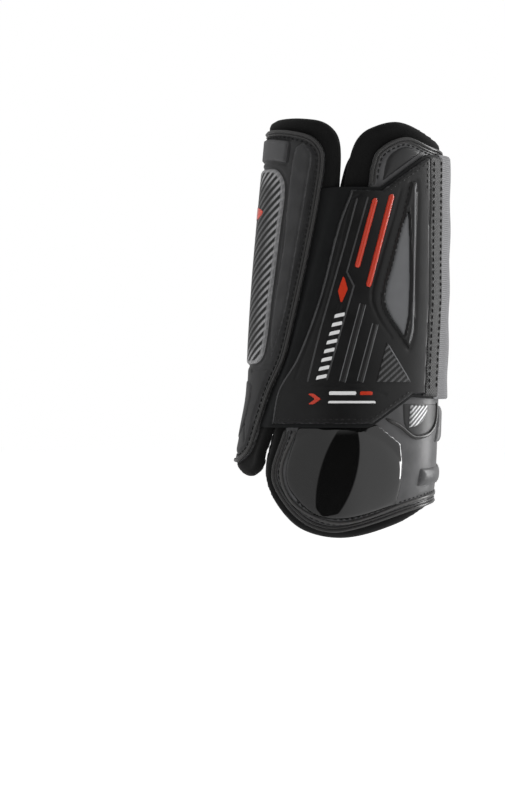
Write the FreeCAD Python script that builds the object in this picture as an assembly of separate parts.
"""Tendon boot for a horse's left foreleg, in millimetres.

+Z is up as worn, -X is the front of the leg and -Y is its outer side. The origin is the
middle of the leg passage at the height of the fetlock joint.

The boot is a tube of layers that is split down both sides. Each layer lies between two
skins, and a skin is the outside of the hard shell moved out by an offset. A piece is a layer
cut to an outline drawn in the side view, so a piece keeps to its neighbours at any size.
"""

import FreeCAD
import Part
import math
import os

from FreeCAD import Vector

# ---- overall sizes ----
boot_height = 240.0  # top of the front lining to the foot of the fetlock cup
boot_depth = 117.0  # front to back over the shell, at the fetlock
boot_width = 88.0  # side to side over the shell, at the fetlock

# the outlines below are drawn for a boot of these sizes, and graded to the sizes above
drawn_height = 240.0
drawn_depth = 117.0
drawn_width = 88.0

# ---- walls ----
shell_wall = 2.2
lining_wall = 4.3
foam_wall = 2.0
flap_wall = 1.4
overlay_wall = 1.6
elastic_wall = 1.6
tape_wall = 0.45
badge_rise = 0.9
panel_rise = 1.2
bead_rise = 1.1
bead_width = 2.0
rib_rise = 1.2
rib_width = 2.6
ridge_rise = 0.7
ridge_width = 1.3
emblem_rise = 0.5
frame_rise = 1.0
heel_pad_rise = 2.2
dome_rise = 6.0

# ---- gaps between pieces that move apart ----
tape_gap = 0.45
hinge_gap = 0.5
edge_gap = 0.6
strap_clearance = 3.4  # shell to the inside of the elastic

# ---- the strap's end ----
tail_reach = 17.0  # how far past the back centre the elastic ends
tab_length = 22.0
tab_height = 44.0
tab_wall = 1.8

# ---- skins: offsets from the outside of the shell ----
lining_outside = -shell_wall
lining_inside = lining_outside - lining_wall
foam_inside = lining_outside - foam_wall
flap_inside = tape_gap + tape_wall
flap_outside = flap_inside + flap_wall
overlay_outside = flap_outside + overlay_wall
elastic_inside = strap_clearance
elastic_outside = elastic_inside + elastic_wall

# height, front, back and half width of the outside of the shell
stations = [
    (-45, -71.2, 41.0, 36.0),
    (-30, -70.8, 45.0, 40.0),
    (-12, -69.8, 48.0, 43.0),
    (10, -66.8, 49.8, 44.0),
    (30, -63.0, 50.6, 42.0),
    (50, -59.5, 51.2, 39.5),
    (80, -58.0, 52.0, 37.0),
    (115, -55.8, 52.6, 36.0),
    (150, -52.8, 53.0, 36.5),
    (180, -50.0, 53.0, 37.8),
    (200, -48.2, 52.9, 39.0),
    (220, -46.4, 52.6, 40.4),
]
points_round = 16
points_along = 24
beyond = 95.0  # past the boot on every side

height_grade = boot_height / drawn_height
depth_grade = boot_depth / drawn_depth
width_grade = boot_width / drawn_width


def graded(point):
    """A point of the side view, at the boot's own size."""
    return Vector(point[0] * depth_grade, 0, point[1] * height_grade)


def section_at(height):
    """Middle, half depth and half width of the shell at a height on the boot."""
    drawn = height / height_grade
    for low, high in zip(stations, stations[1:]):
        if drawn <= high[0]:
            break
    part = (drawn - low[0]) / (high[0] - low[0])
    front, back, half = [a + (b - a) * part for a, b in zip(low[1:], high[1:])]
    middle = (front + back) / 2 * depth_grade
    return middle, (back - front) / 2 * depth_grade, half * width_grade


def across_at(x, height, offset):
    """Distance from the middle plane to a skin, at a place in the side view."""
    middle, half_depth, half_width = section_at(height)
    share = (x - middle) / (half_depth + offset)
    return (half_width + offset) * math.sqrt(1 - share * share)


def ring(station, offset):
    """One closed section of a skin."""
    height, front, back, half = station
    middle = (front + back) / 2 * depth_grade
    along = (back - front) / 2 * depth_grade + offset
    across = half * width_grade + offset
    turns = [2 * math.pi * k / points_round for k in range(points_round)]
    points = [
        Vector(middle + along * math.cos(a), across * math.sin(a), height * height_grade)
        for a in turns
    ]
    curve = Part.BSplineCurve()
    curve.interpolate(Points=points, PeriodicFlag=True)
    return Part.Wire(curve.toShape())


skins = {}


def skin(offset):
    """Everything inside the shell's outside moved out by an offset."""
    if offset not in skins:
        skins[offset] = Part.makeLoft([ring(s, offset) for s in stations], True, False)
    return skins[offset]


def outline(*runs):
    """A closed outline in the side view: straight runs of two points, curves of more."""
    edges = []
    for run in runs:
        points = [graded(p) for p in run]
        if len(points) == 2:
            edges.append(Part.LineSegment(points[0], points[1]).toShape())
        else:
            curve = Part.BSplineCurve()
            curve.interpolate(Points=points)
            edges.append(curve.toShape())
    return Part.Wire(edges)


def polygon(*points):
    """A closed outline of straight runs."""
    corners = [graded(p) for p in points]
    return Part.makePolygon(corners + [corners[0]])


def bar(start, end, width):
    """The outline of a straight bar between two places in the side view."""
    a = graded(start)
    b = graded(end)
    along = (b - a).normalize()
    across = Vector(-along.z, 0, along.x) * (width / 2)
    corners = [a + across, b + across, b - across, a - across]
    return Part.makePolygon(corners + [corners[0]])


def moved_edge(wire, distance):
    """An outline moved outward by a distance, with its curves made again as plain splines."""
    edges = []
    for edge in wire.makeOffset2D(distance).OrderedEdges:
        if edge.Curve.TypeId == "Part::GeomLine":
            edges.append(edge)
        else:
            curve = Part.BSplineCurve()
            curve.interpolate(Points=edge.discretize(Number=points_along))
            edges.append(curve.toShape())
    return Part.Wire(edges)


def through(wire, low=-beyond, high=beyond):
    """An outline pushed through the boot from side to side."""
    face = Part.Face(wire)
    face.translate(Vector(0, low, 0))
    return face.extrude(Vector(0, high - low, 0))


def outer(wire):
    return through(wire, -beyond, 0)


def inner(wire):
    return through(wire, 0, beyond)


def layer(region, inside, outside):
    """The part of a region that lies between two skins."""
    whole = region.common(skin(outside))
    core = region.common(skin(inside))
    between = whole.cut(core)
    expected = whole.Volume - core.Volume
    if abs(between.Volume - expected) > 0.01 * expected:
        raise ValueError("a layer holds more or less than it should")
    return between


def path_bars(points, width):
    """The outline of a ridge through places in the side view, as one region."""
    region = None
    for start, end in zip(points, points[1:]):
        piece = outer(bar(start, end, width))
        joint = Part.makeCylinder(
            width / 2, beyond, graded(end) - Vector(0, beyond, 0), Vector(0, 1, 0)
        )
        piece = piece.fuse(joint)
        region = piece if region is None else region.fuse(piece)
    return region


def save(node, shape):
    """Write one node, and stop if it isn't made of sound solids."""
    solids = [s for s in shape.Solids if s.Volume > 0.01]
    if not solids or not all(s.isValid() for s in solids):
        raise ValueError("unsound shape: " + node)
    whole = solids[0] if len(solids) == 1 else Part.makeCompound(solids)
    whole.exportStep("parts/" + node + ".step")
    if len(Part.read("parts/" + node + ".step").Solids) != len(solids):
        raise ValueError("the written file holds other solids: " + node)
    print(node, len(solids), "solid(s)", round(whole.Volume), "mm3")


os.makedirs("parts", exist_ok=True)

# ---- lines that several pieces share, in the side view ----
fold_top = (-10.5, 165)  # the flap folds along fold_top to fold_foot
fold_foot = (-47.6, 31)
front_split_top = (-8.6, 165)  # edge of the front half under the flap
front_split_foot = (-47.2, 31)
rear_split_top = (-6.1, 165)  # edge of the rear half under the flap
rear_split_foot = (-46.0, 31)
strap_top = (48.7, 186)  # the elastic joins the flap along strap_top to strap_foot
strap_waist = (48.3, 103)
strap_foot = (45.4, 47)

# ---- outlines of the two halves ----
front_lining_edge = outline(
    [(-90, 8), (-90, 207)],
    [(-90, 207), (-46, 207)],
    [(-46, 207), (-30, 205), (-18, 202), (-10.5, 195.5), (-8, 186), front_split_top],
    [front_split_top, front_split_foot],
    [front_split_foot, (-52.4, 17), (-54.2, 8.5), (-59, 3.6), (-64, 3.6), (-68.5, 8)],
    [(-68.5, 8), (-90, 8)],
)
rear_lining_edge = outline(
    [rear_split_foot, rear_split_top],
    [rear_split_top, (-3.9, 177), (1, 191), (9, 198), (28, 202.4), (53, 194.5)],
    [(53, 194.5), (90, 194.5)],
    [(90, 194.5), (90, -14)],
    [(90, -14), (47, -14)],
    [(47, -14), (26, -23.7), (-5, -30.6), (-30, -26), (-45, -12.5), (-51.2, 3), rear_split_foot],
)
front_shell_edge = outline(
    [(-90, 12), (-90, 201)],
    [(-90, 201), (-47, 201)],
    [
        (-47, 201),
        (-35, 198.3),
        (-23, 193.5),
        (-17, 184.5),
        (-18.6, 165),
        (-23.8, 136),
        (-33.8, 90),
        (-38.8, 70),
        (-46.7, 52),
        (-52.9, 34),
        (-58.5, 18),
        (-65, 10.5),
    ],
    [(-65, 10.5), (-90, 12)],
)
rear_shell_edge = outline(
    [(-39.5, 28), (8.4, 165)],
    [(8.4, 165), (10, 177), (14, 186), (28.8, 193.6), (44, 190), (53, 189)],
    [(53, 189), (90, 189)],
    [(90, 189), (90, -12)],
    [(90, -12), (49, -12)],
    [(49, -12), (32, -16), (-8, -27), (-25, -24), (-38, -13), (-46, 4), (-39.5, 28)],
)
front_foam_edge = outline(
    [(-90, 34), (-90, 190)],
    [(-90, 190), (-32, 190)],
    [(-32, 190), (-23, 180), (-31, 130), (-47, 66), (-60, 34)],
    [(-60, 34), (-90, 34)],
)
rear_foam_edge = outline(
    [(-28, 36), (15, 158)],
    [(15, 158), (19, 175), (29, 184), (53, 181)],
    [(53, 181), (90, 181)],
    [(90, 181), (90, -4)],
    [(90, -4), (46, -4)],
    [(46, -4), (-6, -18), (-32, -4), (-36, 14), (-28, 36)],
)
flap_edge = polygon(
    fold_foot,
    fold_top,
    (14.3, 165),
    (39.8, 184.6),
    strap_top,
    strap_waist,
    strap_foot,
    (31.5, 48.1),
    (9.6, 32),
    (7.3, 31),
)

front_half = through(front_shell_edge)
rear_half = through(rear_shell_edge)
hinge_room = Vector(hinge_gap / 2, 0, 0)

# ---- front half: lining, foam, shell and what is on the shell ----
front_foam = layer(through(front_foam_edge), foam_inside, lining_outside)
front_lining = layer(through(front_lining_edge), lining_inside, lining_outside)
save("front_liner", front_lining.cut(front_foam))
save("front_foam_pad", front_foam)
save("shin_shell", layer(front_half, lining_outside, 0))

front_inset = through(moved_edge(front_shell_edge, -bead_width))
save("shin_piping", layer(front_half, 0, bead_rise).cut(front_inset))

badge = outline(
    [(-90, 183.5), (-90, 197.5)],
    [(-90, 197.5), (-49, 197.2)],
    [(-49, 197.2), (-35.4, 193)],
    [(-35.4, 193), (-37.1, 179.6)],
    [(-37.1, 179.6), (-50, 183.7)],
    [(-50, 183.7), (-90, 183.5)],
)
save("badge_panel", layer(through(badge), 0, badge_rise))

insert = outline(
    [(-90, 66), (-90, 180)],
    [(-90, 180), (-50, 180)],
    [(-50, 180), (-42, 177.5), (-37.6, 168), (-40, 144)],
    [(-40, 144), (-44.5, 108), (-49, 74)],
    [(-49, 74), (-53, 67), (-60, 66)],
    [(-60, 66), (-90, 66)],
)
save("front_carbon_insert", layer(through(insert), 0, panel_rise))

chevron = polygon((-60, 158), (-52.5, 151), (-49.5, 153), (-56, 160), (-60, 164))
save("insert_chevron", layer(through(chevron), panel_rise, panel_rise + emblem_rise))

side_panel = outline(
    [(-27.7, 191), (-32, 188), (-35.6, 167), (-38.5, 136), (-45.5, 88), (-46.2, 67.5)],
    [(-46.2, 67.5), (-38.3, 94), (-32, 128), (-24.6, 172), (-23.2, 184), (-27.7, 191)],
)
save("side_panel_outer", layer(outer(side_panel), 0, panel_rise))
save("side_panel_inner", layer(inner(side_panel), 0, panel_rise))

lower_panel = outline(
    [(-90, 20), (-90, 60)],
    [(-90, 60), (-55, 60)],
    [(-55, 60), (-50, 58), (-53, 46), (-58.5, 31), (-64, 20)],
    [(-64, 20), (-90, 20)],
)
save("front_lower_panel", layer(through(lower_panel), 0, badge_rise))

anchor_edge = polygon((-24, 165), fold_top, fold_foot, (-60, 31))
anchor = outer(anchor_edge)
anchor.translate(-hinge_room)
save("flap_anchor", layer(anchor, lining_outside, bead_rise).cut(front_half))

# ---- rear half: lining, foam, shell and what is on the shell ----
rear_foam = layer(through(rear_foam_edge), foam_inside, lining_outside)
rear_lining = layer(through(rear_lining_edge), lining_inside, lining_outside)
save("rear_liner", rear_lining.cut(rear_foam))
save("rear_foam_pad", rear_foam)

loop_outer = outer(polygon((22, 60), (22, 160), (38, 172), (38, 60)))
loop_outer_tape = layer(loop_outer, -tape_wall, 0)
save("loop_tape_outer", loop_outer_tape)
save("tendon_shell", layer(rear_half, lining_outside, 0).cut(loop_outer_tape))

# the flap's own room on the shell, with a gap round it
flap_room = outer(moved_edge(flap_edge, edge_gap))
rear_inset = through(moved_edge(rear_shell_edge, -bead_width))
rim = layer(rear_half, 0, bead_rise).cut(rear_inset)
upper_zone = through(polygon((-80, 166), (90, 166), (90, 210), (-80, 210)))
cup_zone = through(polygon((-80, 28), (90, 28), (90, -40), (-80, -40)))
save("tendon_piping", rim.common(upper_zone).cut(flap_room))
save("cup_piping", rim.common(cup_zone).cut(flap_room))

cup_bead_edge = outline(
    [(90, 60), (90, -6.5)],
    [(90, -6.5), (51, -6.5)],
    [(51, -6.5), (30, -11.5), (-8, -22), (-33, -12), (-40.8, 6), (-33, 28)],
    [(-33, 28), (-20, 60)],
    [(-20, 60), (90, 60)],
)
cup_bead_hole = through(moved_edge(cup_bead_edge, -ridge_width))
cup_bead = layer(through(cup_bead_edge), 0, ridge_rise).cut(cup_bead_hole)
save("cup_bead", cup_bead.common(cup_zone).cut(flap_room))

top_panel = outline(
    [(15.5, 168), (19, 182), (28.8, 188.3), (39, 186)],
    [(39, 186), (15.5, 168)],
)
save("top_panel_outer", layer(outer(top_panel), 0, badge_rise).cut(flap_room))
save("top_panel_inner", layer(inner(top_panel), 0, badge_rise))

dome_edge = outline(
    [(-30.5, 30), (-37.9, 8), (-35.7, -4), (-22, -17.4), (-4, -19.6), (24, -12)],
    [(24, -12), (27, 8), (26, 22)],
    [(26, 22), (15.5, 30)],
    [(15.5, 30), (-30.5, 30)],
)


def dome(region, side):
    """A strike dome on one side of the fetlock: a stretched ball that stands out of the shell."""
    middle_x = -8.0 * depth_grade
    middle_z = 5.0 * height_grade
    half_width = section_at(middle_z)[2]
    reach = 30.0 * width_grade
    ball = Part.makeSphere(1.0)
    stretch = FreeCAD.Matrix()
    stretch.scale(Vector(42.0 * depth_grade, reach, 40.0 * height_grade))
    ball = ball.transformGeometry(stretch)
    ball.translate(Vector(middle_x, side * (half_width + dome_rise - reach), middle_z))
    return region.common(ball).cut(skin(0))


save("fetlock_dome_outer", dome(outer(dome_edge), -1))
save("fetlock_dome_inner", dome(inner(dome_edge), 1))

vent_edge = outline(
    [(28, 52), (30, 30), (37.5, 25.6), (45.5, 30), (48.6, 40), (48.5, 52)],
    [(48.5, 52), (28, 52)],
)
vent_hole = moved_edge(vent_edge, -bead_width)
strap_foot_room = outer(polygon((26, 44.5), (60, 44.5), (60, 60), (26, 60)))
vent_frame = layer(outer(vent_edge), 0, panel_rise).cut(outer(vent_hole))
vent_panel = layer(outer(vent_hole), 0, emblem_rise)
save("vent_frame", vent_frame.cut(flap_room).cut(strap_foot_room))
save("vent_carbon_insert", vent_panel.cut(flap_room).cut(strap_foot_room))

heel_pad_upper = polygon((47.2, 22), (90, 22), (90, 43.5), (49.8, 43.5), (49.4, 31))
heel_pad_lower = polygon((36, -3), (90, 1), (90, 10), (38, 8))
save("heel_pad_upper", layer(through(heel_pad_upper), 0, heel_pad_rise).cut(vent_frame))
save("heel_pad_lower", layer(through(heel_pad_lower), 0, heel_pad_rise).cut(cup_bead))

# ---- closure flap ----
flap_zone = outer(flap_edge)
fold_clear = flap_zone.copy()
fold_clear.translate(hinge_room * 2)
flap_zone = flap_zone.common(fold_clear)
save("flap_base", layer(flap_zone, flap_inside, flap_outside))

hook_outer = outer(polygon((24, 62), (24, 158), (36, 168), (36, 62)))
save("hook_tape_outer", layer(hook_outer, tape_gap, flap_inside))

overlay_edge = outline(
    [(-43.8, 33), (-40, 52), (-30.5, 69.5), (-19, 102), (-8.5, 144), (-1.6, 163.3)],
    [(-1.6, 163.3), (15, 163.3)],
    [(15, 163.3), (39, 182.3)],
    [(39, 182.3), (40.8, 183)],
    [(40.8, 183), (40.2, 103)],
    [(40.2, 103), (37.6, 49.8)],
    [(37.6, 49.8), (31, 49.8)],
    [(31, 49.8), (9, 33.2)],
    [(9, 33.2), (-43.8, 33)],
)
frame_outline = outline(
    [(30, 168.5), (26.9, 155), (20.7, 132), (14, 102), (17, 92.5), (28.7, 75)],
    [(28.7, 75), (31.4, 85.6), (33, 136), (33, 168.5), (30, 168.5)],
)
window_outline = outline(
    [(29, 154), (24.8, 143), (20.1, 123.4), (15.6, 103.5), (18.5, 93.5), (26.5, 81)],
    [(26.5, 81), (29.2, 95), (29.9, 130), (29, 154)],
)
overlay_zone = outer(overlay_edge)
frame_zone = outer(frame_outline)
window_zone = outer(window_outline)
save("flap_overlay", layer(overlay_zone, flap_outside, overlay_outside).cut(frame_zone))
frame_top = overlay_outside + frame_rise
save("window_frame", layer(frame_zone, flap_outside, frame_top).cut(window_zone))
save("window_panel", layer(window_zone, flap_outside, flap_outside + overlay_wall / 2))

bars = {
    "red_bar_front": ((11, 158.4), (1.3, 120.1), frame_top),
    "red_bar_back": ((19.7, 160.8), (7.1, 109.3), frame_top),
    "dark_rib_front": ((4.3, 99.8), (-6.7, 56.4), overlay_outside + rib_rise),
    "dark_rib_back": ((10.8, 88.7), (2.5, 56.4), overlay_outside + rib_rise),
}
for node, (head, foot, rise) in bars.items():
    save(node, layer(outer(bar(head, foot, rib_width)), overlay_outside, rise))

ridges = {
    "straight_ridge": [(1.5, 158.6), (-5.1, 132.6), (-17.9, 85.3), (-24.6, 56.4)],
    "kinked_ridge": [(7.1, 159.2), (-4, 117.6), (-0.4, 109.8), (-10.2, 74.2), (-14.7, 57.5)],
}
for node, places in ridges.items():
    ridge = path_bars(places, ridge_width)
    save(node, layer(ridge, overlay_outside, overlay_outside + ridge_rise))

triangle = polygon((16.9, 78.7), (29.4, 56.4), (11.3, 56.4))
save("carbon_triangle", layer(outer(triangle), overlay_outside, overlay_outside + emblem_rise))

emblems = {
    "lozenge_emblem": [(-8.6, 107), (-5.6, 116), (-3.6, 108), (-7, 99.5)],
    "arrow_emblem": [(-24.5, 44), (-20.6, 47), (-24.5, 50), (-21.6, 50), (-17.6, 47), (-21.6, 44)],
}
for node, corners in emblems.items():
    emblem = outer(polygon(*corners))
    save(node, layer(emblem, overlay_outside, overlay_outside + emblem_rise))

strip_edge = polygon(
    (41.2, 183.6), (48.2, 184.4), strap_waist, (45, 48), (38, 49), (40.6, 103)
)
strip_zone = outer(strip_edge).common(flap_zone)
save("seam_strip", layer(strip_zone, flap_outside, overlay_outside))

# ---- elastic round the back, and its pull tab ----
tab_level = 115.0 * height_grade
middle, half_depth, half_width = section_at(tab_level)
end_share = math.sqrt(1 - (tail_reach / (half_width + elastic_outside)) ** 2)
tail_end = Vector(middle + (half_depth + elastic_outside) * end_share, tail_reach, 0)
facing = Vector(
    (tail_end.x - middle) / (half_depth + elastic_outside) ** 2,
    tail_end.y / (half_width + elastic_outside) ** 2,
    0,
).normalize()
onward = Vector(-facing.y, facing.x, 0)


def past(distance):
    """Everything further round the inner side than a distance from the strap's end."""
    block = Part.makeBox(2 * beyond, 2 * beyond, 4 * beyond, Vector(0, -beyond, -beyond))
    block.rotate(Vector(0, 0, 0), Vector(0, 0, 1), math.degrees(math.atan2(onward.y, onward.x)))
    block.translate(tail_end + onward * distance)
    return block


elastic_edge = polygon(strap_top, (90, 188.5), (90, 46.5), strap_foot, strap_waist)
elastic_zone = through(elastic_edge)
elastic_zone.translate(hinge_room * 2)
save("elastic_band", layer(elastic_zone, elastic_inside, elastic_outside).cut(past(0)))

hook_inner = through(polygon((20, 62), (90, 62), (90, 172), (20, 172)), -tail_reach)
hook_inner = hook_inner.common(past(-16)).cut(past(-2))
hook_inner_tape = layer(hook_inner, tape_wall + tape_gap, elastic_inside)
save("hook_tape_inner", hook_inner_tape)
loop_inner = through(polygon((20, 58), (90, 58), (90, 174), (20, 174)), -tail_reach)
loop_inner = loop_inner.common(past(-20)).cut(past(14))
save("loop_tape_inner", layer(loop_inner, 0, tape_wall))

tab = Part.makeBox(tab_length, tab_wall, tab_height, Vector(hinge_gap, 0, -tab_height / 2))
tab.rotate(Vector(0, 0, 0), Vector(0, 0, 1), math.degrees(math.atan2(onward.y, onward.x)))
tab.translate(Vector(tail_end.x, tail_end.y, tab_level))
upright = [e for e in tab.Edges if abs(e.tangentAt(e.FirstParameter).z) < 0.5 and e.Length < 2]
free_ends = [e for e in upright if (e.CenterOfMass - tail_end).dot(onward) > tab_length / 2]
save("pull_tab", tab.makeFillet(tab_height / 5, free_ends))

# ---- hinge lines, for the record of moving parts ----


def on_skin(place, offset, side):
    point = graded(place)
    point.y = side * across_at(point.x, point.z, offset)
    return point


def report_axis(name, foot, top):
    way = (top - foot).normalize()
    print(name, "through", [round(v, 3) for v in foot], "along", [round(v, 4) for v in way])


report_axis("flap_hinge", on_skin(fold_foot, flap_outside, -1), on_skin(fold_top, flap_outside, -1))
split_foot = ((front_split_foot[0] + rear_split_foot[0]) / 2, front_split_foot[1])
split_top = ((front_split_top[0] + rear_split_top[0]) / 2, front_split_top[1])
report_axis(
    "inner_hinge", on_skin(split_foot, lining_outside, 1), on_skin(split_top, lining_outside, 1)
)
report_axis(
    "tail_hinge",
    on_skin(strap_foot, elastic_outside, -1) + hinge_room,
    on_skin(strap_top, elastic_outside, -1) + hinge_room,
)
report_axis("tab_hinge", tail_end, tail_end + Vector(0, 0, 1))
